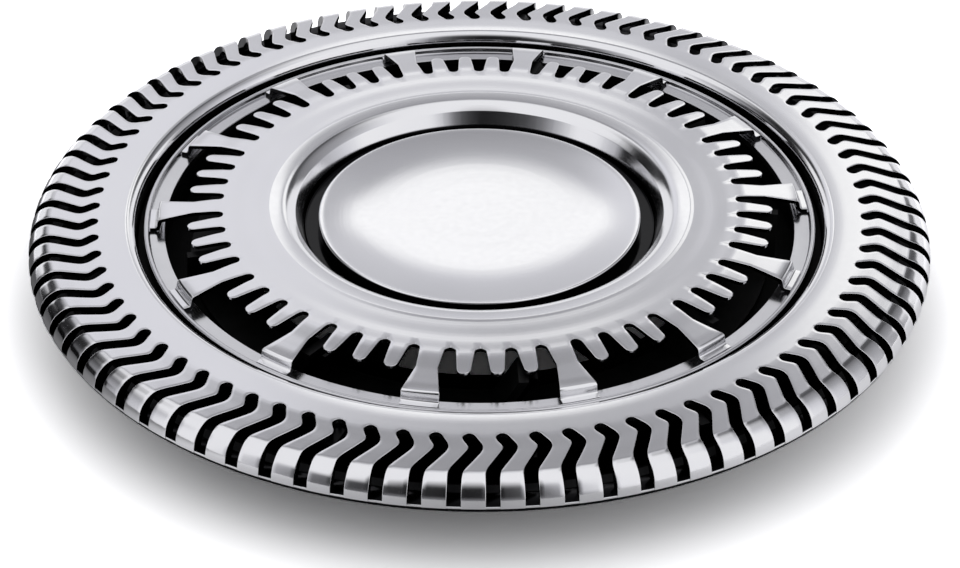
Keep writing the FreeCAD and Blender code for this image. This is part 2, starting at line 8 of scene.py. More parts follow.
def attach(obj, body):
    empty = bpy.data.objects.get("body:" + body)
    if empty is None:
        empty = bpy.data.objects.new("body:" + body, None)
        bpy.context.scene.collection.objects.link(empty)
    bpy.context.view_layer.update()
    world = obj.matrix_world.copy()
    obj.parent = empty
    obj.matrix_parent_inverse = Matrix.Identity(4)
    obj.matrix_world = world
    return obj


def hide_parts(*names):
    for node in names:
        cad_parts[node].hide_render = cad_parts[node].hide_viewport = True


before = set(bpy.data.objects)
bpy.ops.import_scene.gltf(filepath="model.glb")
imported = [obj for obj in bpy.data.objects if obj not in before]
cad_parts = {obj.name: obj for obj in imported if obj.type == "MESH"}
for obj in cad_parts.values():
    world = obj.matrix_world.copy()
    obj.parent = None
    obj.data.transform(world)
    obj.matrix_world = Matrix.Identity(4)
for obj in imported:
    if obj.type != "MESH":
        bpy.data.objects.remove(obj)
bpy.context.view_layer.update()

# A rotary shaver head: smooth polished steel guards over the plain solids of the frame.
# Lengths in the settings are millimetres, angles are degrees, heights count from the table.

mm = 0.001
smoothTo = 30.0  # faces that meet at a larger angle keep a sharp edge


class Shade:
    # A socket of a shader tree, so that masks and heights read as sums and products.
    def __init__(self, tree, socket=None):
        self.tree, self.socket = tree, socket

    def node(self, kind, settings=None, output=0, **sockets):
        # settings go on the node first, then values and links on its sockets; names with a
        # space use an underscore, and in0, in1 ... count the inputs; output is the one to go on with
        made = self.tree.nodes.new(kind)
        for name, value in (settings or {}).items():
            if name == "stops":
                fillRamp(made.color_ramp, value)
            else:
                setattr(made, name, value)
        for name, value in sockets.items():
            key = int(name[2:]) if name[:2] == "in" and name[2:].isdigit() else name.replace("_", " ")
            if isinstance(value, Shade):
                self.tree.links.new(value.socket, made.inputs[key])
            else:
                made.inputs[key].default_value = value
        return Shade(self.tree, made.outputs[output]) if len(made.outputs) else made

    def math(self, operation, *others):
        inputs = {"in%d" % (i + 1): other for i, other in enumerate(others)}
        return self.node("ShaderNodeMath", {"operation": operation}, in0=self, **inputs)

    def __add__(self, other): return self.math("ADD", other)
    def __radd__(self, other): return self.math("ADD", other)
    def __sub__(self, other): return self.math("SUBTRACT", other)
    def __rsub__(self, other): return self.math("MULTIPLY", -1.0).math("ADD", other)
    def __mul__(self, other): return self.math("MULTIPLY", other)
    def __rmul__(self, other): return self.math("MULTIPLY", other)
    def __truediv__(self, other): return self.math("DIVIDE", other)

    def band(self, low, high):
        # 0 below low, 1 above high, smooth between them
        return self.node("ShaderNodeMapRange", {"interpolation_type": "SMOOTHSTEP"},
                         in0=self, in1=low, in2=high, in3=0.0, in4=1.0)

    def bump(self, middle, width, soft):
        # 1 within width of middle, fading to 0 over soft
        return 1.0 - (self - middle).math("ABSOLUTE").band(width, width + soft)

    def mix(self, first, second):
        # self is the share of the second colour
        return self.node("ShaderNodeMix", {"data_type": "RGBA"}, 2, in0=self, in6=first, in7=second)

    def split(self):
        # the three parts of a vector
        parts = self.tree.nodes.new("ShaderNodeSeparateXYZ")
        self.tree.links.new(self.socket, parts.inputs[0])
        return [Shade(self.tree, part) for part in parts.outputs]


def fillRamp(ramp, stops):
    while len(ramp.elements) > 1:
        ramp.elements.remove(ramp.elements[-1])
    ramp.elements[0].position, ramp.elements[0].color = stops[0][0], stops[0][1]
    for place, colour in stops[1:]:
        ramp.elements.new(place).color = colour


def roundedLine(corners, radii, step):
    # A section's corners with their bends as arcs, a point every step degrees. radii is 0 at a
    # sharp corner.
    points = [Vector(corners[0])]
    for i in range(1, len(corners) - 1):
        here, radius = Vector(corners[i]), radii[i]
        before = (Vector(corners[i - 1]) - here).normalized()
        after = (Vector(corners[i + 1]) - here).normalized()
        turn = math.pi - before.angle(after)
        if radius == 0 or turn < 1e-4:
            points.append(here)
            continue
        reach = radius * math.tan(turn / 2)
        centre = here + (before + after).normalized() * (radius / math.cos(turn / 2))
        start = here + before * reach - centre
        side = 1 if before.x * after.y - before.y * after.x < 0 else -1
        steps = max(2, math.ceil(math.degrees(turn) / step))
        for k in range(steps + 1):
            angle = side * turn * k / steps
            points.append(centre + Vector((start.x * math.cos(angle) - start.y * math.sin(angle),
                                           start.x * math.sin(angle) + start.y * math.cos(angle))))
    points.append(Vector(corners[-1]))
    return points


def withRadii(points, radii):
    # adds points on a section where it passes the given radii going outwards, but none that
    # would lie closer than apart to one that is there
    apart = 0.002
    line = [points[0]]
    for before, after in zip(points, points[1:]):
        for radius in sorted(radii):
            if before.x + apart < radius < after.x - apart:
                line.append(before.lerp(after, (radius - before.x) / (after.x - before.x)))
        line.append(after)
    return line


def sectionNormals(points):
    # the section's outward side, to the left of its direction of travel
    normals = []
    for i in range(len(points)):
        before, after = points[max(i - 1, 0)], points[min(i + 1, len(points) - 1)]
        run = Vector((0, 0))
        if i > 0:
            run += (points[i] - before).normalized()
        if i < len(points) - 1:
            run += (after - points[i]).normalized()
        run.normalize()
        normals.append(Vector((-run.y, run.x)))
    return normals


def polarTable(line):
    # a side of a slot or finger, given in plan, as radius and angle that np.interp can read
    table = sorted((point.length, math.degrees(math.atan2(point.y, point.x))) for point in line)
    return [row[0] for row in table], [row[1] for row in table]


def meshObject(name, corners, faces):
    mesh = bpy.data.meshes.new(name)
    mesh.from_pydata([(x * mm, y * mm, z * mm) for x, y, z in corners], [], faces)
    mesh.validate()
    mesh.polygons.foreach_set("use_smooth", [True] * len(mesh.polygons))
    mesh.set_sharp_from_angle(angle=math.radians(smoothTo))
    piece = bpy.data.objects.new(name, mesh)
    bpy.context.scene.collection.objects.link(piece)
    return piece


def turnedMesh(name, section, count):
    # A closed section of radius and height, turned about the head's axis. A point on the axis
    # becomes one vertex.
    corners, rings = [], []
    for point in section:
        if point.x < 1e-9:
            rings.append([len(corners)] * count)
            corners.append((0, 0, point.y))
            continue
        rings.append(list(range(len(corners), len(corners) + count)))
        for k in range(count):
            angle = 2 * math.pi * k / count
            corners.append((point.x * math.cos(angle), point.x * math.sin(angle), point.y))
    faces = []
    for i in range(len(rings)):
        low, high = rings[i], rings[(i + 1) % len(rings)]
        if low[0] == low[1] and high[0] == high[1]:
            continue
        for k in range(count):
            after = (k + 1) % count
            ring = [low[k], high[k], high[after], low[after]]
            faces.append([v for n, v in enumerate(ring) if v not in ring[:n]])
    return meshObject(name, corners, faces)


def turnedPiece(name, corners, s):
    # the last corner repeats the first one
    return turnedMesh(name, roundedLine(corners, s["bends"], s["arcStep"])[:-1], s["count"])


# The easing of a cut edge: how far in it reaches and how far down, and the same for the row
# between, as shares. It fades in over fadeIn from a cut's inner end.
easedEdge = {
    "width": 0.012, "drop": 0.004, "between": 0.35, "betweenDrop": 0.3, "mostOfStrip": 0.3,
    "starts": 0.001, "fadeIn": 0.02,
}


def landStrip(section, sheets, right, left, cutEnd, columns):
    # One strip of sheet metal between two cuts. right and left give the angle of its sides at
    # each radius, and inside cutEnd the sides meet the neighbouring strips.
    edge = easedEdge
    cutStart = cutEnd + edge["starts"]
    normals = sectionNormals(section)
    corners, faces, rows = [], [], []
    for point, normal, sheet in zip(section, normals, sheets):
        first, last = right(point.x), left(point.x)
        span = math.radians(last - first) * point.x
        ease = min(edge["width"], span * edge["mostOfStrip"]) / span
        shares = [0.0, ease * edge["between"], ease]
        shares += [ease + (1 - 2 * ease) * k / columns for k in range(1, columns)]
        shares += [1 - ease, 1 - ease * edge["between"], 1.0]
        drops = [edge["drop"], edge["drop"] * edge["betweenDrop"], 0.0]
        drops += [0.0] * (columns - 1) + drops[::-1]
        fade = min(1.0, max(0.0, (point.x - cutStart) / edge["fadeIn"]))
        row = []
        for share, drop in zip(shares, drops):
            angle = math.radians(first + (last - first) * share)
            place = point - normal * (drop * fade)
            row.append(len(corners))
            corners.append((place.x * math.cos(angle), place.x * math.sin(angle), place.y))
        under = point - normal * sheet
        for angle in (math.radians(last), math.radians(first)):
            row.append(len(corners))
            corners.append((under.x * math.cos(angle), under.x * math.sin(angle), under.y))
        rows.append((row, point.x > cutStart))
    top = columns + 5
    for (near, nearCut), (far, farCut) in zip(rows, rows[1:]):
        for k in range(top - 1):
            faces.append((near[k], far[k], far[k + 1], near[k + 1]))
        faces.append((near[top], far[top], far[top + 1], near[top + 1]))
        if farCut:
            faces.append((near[top - 1], far[top - 1], far[top], near[top]))
            faces.append((near[top + 1], far[top + 1], far[0], near[0]))
    faces.append(tuple(rows[0][0]))
    faces.append(tuple(reversed(rows[-1][0])))
    return corners, faces


def repeatRound(piece, s, material):
    # Repeats the piece's mesh evenly about the head's axis and joins the strips.
    tree = bpy.data.node_groups.new(piece.name + "Ring", "GeometryNodeTree")
    tree.interface.new_socket("Geometry", in_out="INPUT", socket_type="NodeSocketGeometry")
    count = tree.interface.new_socket("Count", in_out="INPUT", socket_type="NodeSocketInt")
    turn = tree.interface.new_socket("First angle", in_out="INPUT", socket_type="NodeSocketFloat")
    join = tree.interface.new_socket("Join distance", in_out="INPUT", socket_type="NodeSocketFloat")
    tree.interface.new_socket("Geometry", in_out="OUTPUT", socket_type="NodeSocketGeometry")
    nodes, link = tree.nodes, tree.links.new
    given, result = nodes.new("NodeGroupInput"), nodes.new("NodeGroupOutput")
    points = nodes.new("GeometryNodePoints")
    index = nodes.new("GeometryNodeInputIndex")
    pitch = nodes.new("ShaderNodeMath")
    pitch.operation = "DIVIDE"
    pitch.inputs[0].default_value = 2 * math.pi
    angle = nodes.new("ShaderNodeMath")
    angle.operation = "MULTIPLY_ADD"
    spin = nodes.new("ShaderNodeCombineXYZ")
    place = nodes.new("GeometryNodeInstanceOnPoints")
    real = nodes.new("GeometryNodeRealizeInstances")
    merge = nodes.new("GeometryNodeMergeByDistance")
    finish = nodes.new("GeometryNodeSetMaterial")
    finish.inputs["Material"].default_value = material
    link(given.outputs["Count"], points.inputs["Count"])
    link(given.outputs["Count"], pitch.inputs[1])
    link(index.outputs[0], angle.inputs[0])
    link(pitch.outputs[0], angle.inputs[1])
    link(given.outputs["First angle"], angle.inputs[2])
    link(angle.outputs[0], spin.inputs["Z"])
    link(points.outputs[0], place.inputs["Points"])
    link(given.outputs["Geometry"], place.inputs["Instance"])
    link(spin.outputs[0], place.inputs["Rotation"])
    link(place.outputs[0], real.inputs[0])
    link(real.outputs[0], merge.inputs["Geometry"])
    link(given.outputs["Join distance"], merge.inputs["Distance"])
    link(merge.outputs[0], finish.inputs["Geometry"])
    link(finish.outputs[0], result.inputs[0])
    modifier = piece.modifiers.new("ring", "NODES")
    modifier.node_group = tree
    modifier[count.identifier] = s["count"]
    modifier[turn.identifier] = math.radians(s["firstAngle"])
    modifier[join.identifier] = s["joinDistance"] * mm
    depsgraph = bpy.context.evaluated_depsgraph_get()
    mesh = bpy.data.meshes.new_from_object(piece.evaluated_get(depsgraph))
    piece.modifiers.clear()
    piece.data = mesh
    mesh.polygons.foreach_set("use_smooth", [True] * len(mesh.polygons))
    mesh.set_sharp_from_angle(angle=math.radians(s["smoothTo"]))
    return piece


def newMaterial(name):
    material = bpy.data.materials.new(name)
    material.use_nodes = True
    tree = material.node_tree
    tree.nodes.clear()
    return material, Shade(tree)


def finishWith(shade, shader):
    output = shade.tree.nodes.new("ShaderNodeOutputMaterial")
    shade.tree.links.new(shader.socket, output.inputs["Surface"])


def steelFinish(name, s):
    # Metal with turning marks round the axis, a fine grain and slightly uneven gloss. The sides
    # of cuts and the ring round the radius called groove, up to the heights of grooveTop, are
    # painted near black: painted shade, for the shade inside slots, grooves and recesses.
    material, shade = newMaterial(name)
    place = shade.node("ShaderNodeTexCoord", None, "Object")
    x, y, z = place.split()
    radius, above = (x * x + y * y).math("SQRT") / mm, z / mm
    turning = shade.node("ShaderNodeTexNoise", {"noise_dimensions": "2D"}, Scale=s["turning"], Detail=4.0,
                         Vector=shade.node("ShaderNodeCombineXYZ", X=radius, Y=above))
    ripple = shade.node("ShaderNodeTexNoise", {"noise_dimensions": "1D"}, Scale=s["ripple"], Detail=0.0,
                        W=radius)
    grain = shade.node("ShaderNodeTexNoise", Vector=place, Scale=s["grain"], Detail=3.0)
    cloud = shade.node("ShaderNodeTexNoise", Vector=place, Scale=s["cloud"], Detail=2.0)
    rough = s["roughness"] + (cloud - 0.5) * s["roughSpread"] + (grain - 0.5) * s["roughGrain"]
    groove = radius.bump(s["groove"], s["grooveWidth"], s["grooveSoft"])
    groove = groove * (1.0 - above.band(*s["grooveTop"]))
    faceX, faceY = shade.node("ShaderNodeNewGeometry", None, "True Normal").split()[:2]
    cut = ((x * faceY - y * faceX) / (radius * mm)).math("ABSOLUTE").band(*s["cutSide"])
    plain = cloud.band(*s["patches"]).mix(s["dark"], s["light"])
    # painted shade: the groove ring and the cut sides take the near-black colour
    colour = groove.math("MAXIMUM", cut).mix(plain, s["paintedShade"])
    height = turning * s["turningDepth"] + grain * s["grainDepth"] + ripple * s["rippleDepth"]
    bump = shade.node("ShaderNodeBump", Height=height, Strength=s["bump"], Distance=mm * s["bumpDepth"])
    finishWith(shade, shade.node("ShaderNodeBsdfPrincipled", Base_Color=colour, Metallic=1.0, Roughness=rough,
                                 Normal=bump))
    return material


def plasticFinish(name, s):
    # A dull surface with a fine grain: moulded plastic, or steel painted black as shade.
    material, shade = newMaterial(name)
    place = shade.node("ShaderNodeTexCoord", None, "Object")
    grain = shade.node("ShaderNodeTexNoise", Vector=place, Scale=s["grain"], Detail=4.0)
    colour = grain.band(*s["patches"]).mix(s["dark"], s["light"])
    rough = s["roughness"] + (grain - 0.5) * s["roughGrain"]
    bump = shade.node("ShaderNodeBump", Height=grain, Strength=s["bump"], Distance=mm * s["bumpDepth"])
    finishWith(shade, shade.node("ShaderNodeBsdfPrincipled", Base_Color=colour, Normal=bump, Roughness=rough,
                                 Specular_IOR_Level=s["shine"]))
    return material


polished = {
    "roughness": 0.13, "roughSpread": 0.04, "roughGrain": 0.04, "bump": 0.05, "bumpDepth": 0.01,
    "turning": 9.0, "turningDepth": 0.5, "ripple": 2.2, "rippleDepth": 3.0,
    "grain": 6000.0, "grainDepth": 0.15, "cloud": 300.0, "patches": (0.3, 0.7),
    "dark": (0.89, 0.89, 0.905, 1.0), "light": (0.92, 0.92, 0.93, 1.0),
    # groove, grooveWidth, grooveSoft and grooveTop place each steel's painted shade, and cutSide the painted
    # shade on the sides of cuts
    "groove": 4.34, "grooveWidth": 0.22, "grooveSoft": 0.02, "grooveTop": (2.0, 2.06),
    "cutSide": (0.7, 0.9), "paintedShade": (0.01, 0.01, 0.011, 1.0),
}
# the painted shade: on the cap's bore wall below the comb, on the band's inside and the ledge below the rim,
# on the support ring's outer wall, and on the comb's seat and the dish's outer wall in the groove round the
# dish
capSteel = steelFinish("capSteel", {
    **polished, "rippleDepth": 6.0, "groove": 8.7, "grooveWidth": 0.12, "grooveTop": (2.05, 2.2)})
rimSteel = steelFinish("rimSteel", {**polished, "groove": 11.2, "grooveWidth": 0.26, "grooveTop": (2.2, 2.3)})
combSteel = steelFinish("combSteel", {**polished, "ripple": 1.7, "rippleDepth": 20.0})
dishSteel = steelFinish("dishSteel", {**polished, "grooveTop": (2.11, 2.13)})
# the support ring's steel is a darker, rougher copy of the polished steel: painted shade for the band lying
# low between the spokes' feet
ringSteel = steelFinish("ringSteel", {
    **polished, "roughness": 0.17, "groove": 8.6, "grooveWidth": 0.06, "grooveTop": (2.1, 2.2),
    "dark": (0.66, 0.66, 0.68, 1.0), "light": (0.72, 0.72, 0.74, 1.0)})
# near-black steel: painted shade for the blades, lifters, rivets and pin inside the head
bladeSteel = steelFinish("bladeSteel", {
    **polished, "roughness": 0.3, "dark": (0.003, 0.003, 0.003, 1.0), "light": (0.006, 0.006, 0.006, 1.0)})
bronze = steelFinish("bronze", {
    **polished, "roughness": 0.25, "dark": (0.5, 0.3, 0.14, 1.0), "light": (0.62, 0.38, 0.18, 1.0)})

# the plastics' near black is partly their own colour and partly painted shade for the dark inside the head;
# greyPlastic too
moulded = {
    "grain": 4000.0, "patches": (0.3, 0.7), "bump": 0.2, "bumpDepth": 0.02, "roughness": 0.6,
    "roughGrain": 0.1, "shine": 0.06, "dark": (0.002, 0.002, 0.002, 1.0), "light": (0.004, 0.004, 0.004, 1.0),
}
blackPlastic = plasticFinish("blackPlastic", moulded)
greyPlastic = plasticFinish("greyPlastic", {
    **moulded, "roughness": 0.5, "shine": 0.2,
    "dark": (0.009, 0.009, 0.01, 1.0), "light": (0.015, 0.015, 0.016, 1.0)})
# black steel for the inner blade ring: painted shade, as the ring sits in the dark inside the head
blackenedSteel = plasticFinish("blackenedSteel", {**moulded, "bump": 0.1, "roughness": 0.4, "shine": 0.1})
whiteNylon = plasticFinish("whiteNylon", {
    **moulded, "grain": 3000.0, "roughness": 0.5, "shine": 0.5,
    "dark": (0.6, 0.6, 0.58, 1.0), "light": (0.7, 0.7, 0.68, 1.0)})
print("finishes made")


# the shaving track at the slots' inner ends, and the comb disc's level part
heights = {"track": 2.5, "comb": 2.545}

cap = {
    "rimRadius": 11.5, "rimBend": 0.61, "rimLow": 1.805, "slope": 4.1, "slopeFrom": 9.75, "slopeEase": 3.0,
    "bore": 8.78, "foot": 1.5, "lipBend": 0.27, "arcStep": 8.0,
    "lipSheet": 0.28, "trackSheet": 0.12, "trackFrom": 9.2, "trackRun": 0.3,
    "rimSheet": 0.26, "rimFrom": 10.93, "rimRun": 0.45,
    "slotWidth": 0.31, "slotTip": 9.7, "slotLean": 31.0, "slotElbow": 10.17, "slotKnee": 10.93,
    "slotTail": -1.5, "pastRim": 1.2, "elbowOutside": 0.32, "elbowInside": 0.14, "kneeBend": 0.6,
    "bendStep": 12.0, "tipSteps": 8,
    # rows of vertices, by radius and by how far they lie beyond the slots' inner ends
    "rows": [9.4, 9.55, 10.0, 10.05, 10.1, 10.14, 10.18, 10.22, 10.27, 10.33, 10.45, 10.58, 10.7, 10.8,
             10.88, 10.94],
    "tipRows": [0.0, 0.008, 0.025, 0.05, 0.085, 0.13, 0.18, 0.24], "columns": 5,
    "count": 83, "firstAngle": -169.353, "joinDistance": 0.0015, "smoothTo": 32.0,
}


def slotSides(s):
    # Plan of the slot along +X: its right and left side as tables of radius and angle.
    half = s["slotWidth"] / 2
    start = Vector((s["slotTip"] + half, 0))
    elbow = Vector((s["slotElbow"], (s["slotElbow"] - start.x) * math.tan(math.radians(s["slotLean"]))))
    tail = math.radians(s["slotTail"])
    knee = Vector((math.cos(tail), math.sin(tail))) * s["slotKnee"]
    line = [start, elbow, knee, knee * s["pastRim"]]
    runs = [(b - a).normalized() for a, b in zip(line, line[1:])]
    sides = []
    for side in (-1, 1):
        normals = [Vector((-run.y, run.x)) * (half * side) for run in runs]
        corners = [start + normals[0]]
        for i in (1, 2):
            middle = (normals[i - 1] + normals[i]).normalized()
            corners.append(line[i] + middle * (half / math.cos(normals[i - 1].angle(normals[i]) / 2)))
        corners.append(corners[2] * s["pastRim"])
        elbowBend = s["elbowOutside"] if side > 0 else s["elbowInside"]
        edge = roundedLine([tuple(c) for c in corners], [0, elbowBend, s["kneeBend"], 0], s["bendStep"])
        first = math.degrees(math.atan2(normals[0].y, normals[0].x)) % 360
        for k in range(1, s["tipSteps"] + 1):
            angle = math.radians(first + (180 - first) * k / s["tipSteps"])
            edge.insert(0, start + Vector((math.cos(angle), math.sin(angle))) * half)
        sides.append(polarTable(edge))
    return sides


def guardCap(s):
    top = heights["track"]
    rimTop = top - (s["rimRadius"] - s["slopeFrom"]) * math.tan(math.radians(s["slope"]))
    section = roundedLine([
        (s["bore"], s["foot"]), (s["bore"], top), (s["slopeFrom"], top), (s["rimRadius"], rimTop),
        (s["rimRadius"], s["rimLow"]),
    ], [0, s["lipBend"], s["slopeEase"], s["rimBend"], 0], s["arcStep"])
    section = withRadii(section, s["rows"] + [s["slotTip"] + further for further in s["tipRows"]])
    sheets = []  # thick at the lip, thin on the track, thick again down the rim
    for point in section:
        onTrack = min(max((point.x - s["trackFrom"]) / s["trackRun"], 0), 1)
        onRim = min(max((point.x - s["rimFrom"]) / s["rimRun"], 0), 1)
        sheets.append(s["lipSheet"] + (s["trackSheet"] - s["lipSheet"]) * onTrack
                      + (s["rimSheet"] - s["trackSheet"]) * onRim)
    right, left = slotSides(s)
    pitch = 360 / s["count"]
    corners, faces = landStrip(section, sheets, lambda r: float(np.interp(r, *left)),
                               lambda r: float(np.interp(r, *right)) + pitch, s["slotTip"], s["columns"])
    return repeatRound(meshObject("guardCap", corners, faces), s, capSteel)


capPiece = guardCap(cap)
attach(capPiece, "guard")
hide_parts("outer_guard_cap")
print("guard cap made:", len(capPiece.data.polygons), "faces")

rimBand = {
    "outer": 11.488, "inner": 11.0, "top": 1.845, "ledge": 1.8, "inset": 0.04, "low": 1.69,
    "bends": [0, 0.02, 0.01, 0, 0, 0, 0], "arcStep": 30.0, "count": 360,
}


def bandBehindSlots(s):
    # its lower part steps in, and rimSteel paints it and the band's inside near black: painted
    # shade, which shows as a fine line below the rim
    under = s["outer"] - s["inset"]
    return turnedPiece("rimBand", [
        (s["inner"], s["low"]), (s["inner"], s["top"]), (s["outer"], s["top"]), (s["outer"], s["ledge"]),
        (under, s["ledge"]), (under, s["low"]), (s["inner"], s["low"]),
    ], s)


bandPiece = bandBehindSlots(rimBand)
bandPiece.data.materials.append(rimSteel)
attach(bandPiece, "guard")
print("band behind the slots made")

comb = {
    "sheet": 0.1, "seatBore": 3.65, "floor": 1.745, "floorBend": 0.08,
    "collarFoot": 4.5, "collar": 4.717, "collarTop": 2.34, "collarBend": 0.06,
    "shoulder": 4.95, "shoulderTop": 2.515, "shoulderBend": 0.45,
    "crease": 5.39, "creaseRise": 0.008, "creaseWidth": 0.09, "creaseBend": 0.2,
    "bend": 6.84, "bendEase": 2.0, "slope": 4.6, "step": 8.2, "stepRun": 0.06, "stepBend": 0.08,
    "footTop": 2.2, "footEnd": 8.43, "footBend": 0.06, "footRun": 0.2,
    "gapEnd": 6.553, "gapBend": 0.143, "gapSteps": 7, "fingerEnd": 7.479, "fingerBend": 0.167,
    "fingerTrim": 0.0015, "fingerSteps": 8, "fingerPitch": 6.117, "fingers": 3,
    "waistRadius": 7.32, "spokeWaist": 0.51, "spokeRoot": 0.9, "arcStep": 12.0,
    # rows of vertices, by radius, outwards from the gaps' ends and inwards from the fingers' ends
    "rows": [6.0, 6.3, 6.85, 7.0, 7.15], "spokeRows": [7.25, 7.32, 7.4, 7.6, 7.85],
    "gapRows": [0.0, 0.008, 0.025, 0.05, 0.09, 0.143], "tipRows": [0.167, 0.13, 0.09, 0.05, 0.025, 0.009],
    "spokeColumns": 6, "fingerColumns": 4,
    "count": 14, "firstAngle": -99.55, "joinDistance": 0.0015, "smoothTo": 32.0,
}


def combSides(s):
    # The left side of a finger and of a spoke, each lying along +X.
    gapRadius, fingerRadius = s["gapEnd"] + s["gapBend"], s["fingerEnd"] - s["fingerBend"]

    def gapFrom(angle):
        turn = math.radians(angle)
        centre = Vector((math.cos(turn), math.sin(turn))) * gapRadius
        return [centre + Vector((math.cos(a), math.sin(a))) * s["gapBend"]
                for a in (turn + math.pi + math.pi / 2 * k / s["gapSteps"] for k in range(s["gapSteps"] + 1))]

    fingerTip = [Vector((fingerRadius + s["fingerBend"] * math.sin(a), s["fingerBend"] * math.cos(a)))
                 for a in (math.pi / 2 * k / s["fingerSteps"] for k in range(s["fingerSteps"] + 1))]
    finger = gapFrom(s["fingerPitch"] / 2) + fingerTip
    spoke = gapFrom(180 / s["count"] - s["fingerPitch"] * s["fingers"] / 2)
    spoke += [Vector((s["waistRadius"], s["spokeWaist"] / 2)), Vector((s["step"], s["spokeRoot"] / 2)),
              Vector((s["footEnd"] + s["footRun"], s["spokeRoot"] / 2))]
    return polarTable(finger), polarTable(spoke)


def combDisc(s):
    # One spoke and the fingers beside it, each a strip from the seat in the middle outwards.
    slope = math.tan(math.radians(s["slope"]))
    top = heights["comb"]
    inner = [(s["seatBore"], s["floor"] + s["sheet"]), (s["collarFoot"], s["floor"] + s["sheet"]),
             (s["collar"], s["collarTop"]), (s["shoulder"], s["shoulderTop"]),
             (s["crease"], top + s["creaseRise"]), (s["crease"] + s["creaseWidth"], top), (s["bend"], top)]
    innerBends = [0, s["floorBend"], s["collarBend"], s["shoulderBend"], s["creaseBend"], s["creaseBend"],
                  s["bendEase"]]
    rows = s["rows"] + [s["gapEnd"] + further for further in s["gapRows"]]
    outwards = [(s["step"], top - (s["step"] - s["bend"]) * slope), (s["step"] + s["stepRun"], s["footTop"]),
                (s["footEnd"], s["footTop"])]
    spokeSection = roundedLine(inner + outwards, innerBends + [s["stepBend"], s["footBend"], 0], s["arcStep"])
    spokeSection = withRadii(spokeSection, rows + s["spokeRows"])
    tip = (s["fingerEnd"] - s["fingerTrim"], top - (s["fingerEnd"] - s["bend"]) * slope)
    fingerSection = roundedLine(inner + [tip], innerBends + [0], s["arcStep"])
    fingerSection = withRadii(fingerSection, rows + [s["fingerEnd"] - back for back in s["tipRows"]])
    finger, spoke = combSides(s)
    firstFinger = 180 / s["count"] - s["fingerPitch"] * (s["fingers"] - 1) / 2
    strips = [(spokeSection, spoke, 0.0, s["spokeColumns"])]
    strips += [(fingerSection, finger, firstFinger + s["fingerPitch"] * k, s["fingerColumns"])
               for k in range(s["fingers"])]
    corners, faces = [], []
    for section, side, middle, columns in strips:
        stripCorners, stripFaces = landStrip(
            section, [s["sheet"]] * len(section), lambda r: middle - float(np.interp(r, *side)),
            lambda r: middle + float(np.interp(r, *side)), s["gapEnd"], columns)
        faces += [tuple(v + len(corners) for v in face) for face in stripFaces]
        corners += stripCorners
    return repeatRound(meshObject("combDisc", corners, faces), s, combSteel)


combPiece = combDisc(comb)
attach(combPiece, "guard")
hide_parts("comb_disc")
print("comb disc made:", len(combPiece.data.polygons), "faces")

supportRing = {
    "inner": 8.05, "outer": 8.58, "low": 1.95, "top": 2.1, "rim": 2.226, "rimWall": 0.12,
    "bends": [0, 0.02, 0.05, 0.04, 0.04, 0, 0], "arcStep": 20.0, "count": 360,
}


def ringUnderFeet(s):
    inside = s["outer"] - s["rimWall"]
    return turnedPiece("supportRing", [
        (s["inner"], s["low"]), (s["inner"], s["top"]), (inside, s["top"]), (inside, s["rim"]),
        (s["outer"], s["rim"]), (s["outer"], s["low"]), (s["inner"], s["low"]),
    ], s)


centreCap = {
    "radius": 4.15, "edge": 2.15, "lip": 0.05, "lipStart": 0.01, "sheet": 0.15, "wall": 0.25, "seat": 1.845,
    "innerFloor": 0.7, "steps": 60, "arcStep": 10.0, "count": 288,
    # the dish's tilt by radius
    "tilts": [(0.0, 0.0), (1.4, 0.3), (2.1, 0.9), (2.76, 2.2), (3.2, 4.8), (3.55, 6.6), (4.1, 8.0)],
}


def dishedCap(s):
    # The dish deepens by its tilt at each radius, worked inwards from the edge.
    reach = s["radius"] - s["lip"]
    radii = [reach * k / s["steps"] for k in range(s["steps"] + 1)]
    bowl = [(reach, s["edge"])]
    for outer, inner in zip(radii[:0:-1], radii[-2::-1]):
        tilt = float(np.interp((outer + inner) / 2, *zip(*s["tilts"])))
        bowl.append((inner, bowl[-1][1] - (outer - inner) * math.tan(math.radians(tilt))))
    lip = roundedLine([bowl[1], (s["radius"] - s["lipStart"], s["edge"]), (s["radius"], s["edge"] - s["lip"]),
                       (s["radius"], s["seat"])], [0, s["lip"], s["lip"], 0], s["arcStep"])
    floor = bowl[-1][1] - s["sheet"]
    inside = s["radius"] - s["sheet"]
    under = [(inside, s["seat"]), (inside, s["edge"] - s["wall"]), (inside * s["innerFloor"], floor),
             (0, floor)]
    section = [Vector(p) for p in bowl[:0:-1]] + lip[1:] + [Vector(p) for p in under]
    return turnedMesh("centreCap", section, s["count"])


for piece, node, steel in ((ringUnderFeet(supportRing), "comb_support_ring", ringSteel),
                           (dishedCap(centreCap), "centre_cap", dishSteel)):
    piece.data.materials.append(steel)
    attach(piece, "guard")
    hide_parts(node)
print("support ring and centre cap made")

# the solids that stay
nodeFinishes = {
    "link_ring": blackPlastic, "centre_clip_ring": blackPlastic, "cutter_carrier": blackPlastic,
    "head_frame": greyPlastic, "keeper_ring": greyPlastic, "drive_bush": greyPlastic,
    "pivot_bush": bronze, "thrust_washer": whiteNylon, "pivot_pin": bladeSteel,
    "outer_blade_ring": bladeSteel, "outer_lifter_ring": bladeSteel, "outer_blade_rivets": bladeSteel,
    "inner_blade_ring": blackenedSteel, "inner_lifter_ring": bladeSteel, "inner_blade_rivets": bladeSteel,
}
for name, finish in nodeFinishes.items():
    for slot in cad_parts[name].material_slots:
        slot.material = finish
print("solids finished:", len(nodeFinishes))

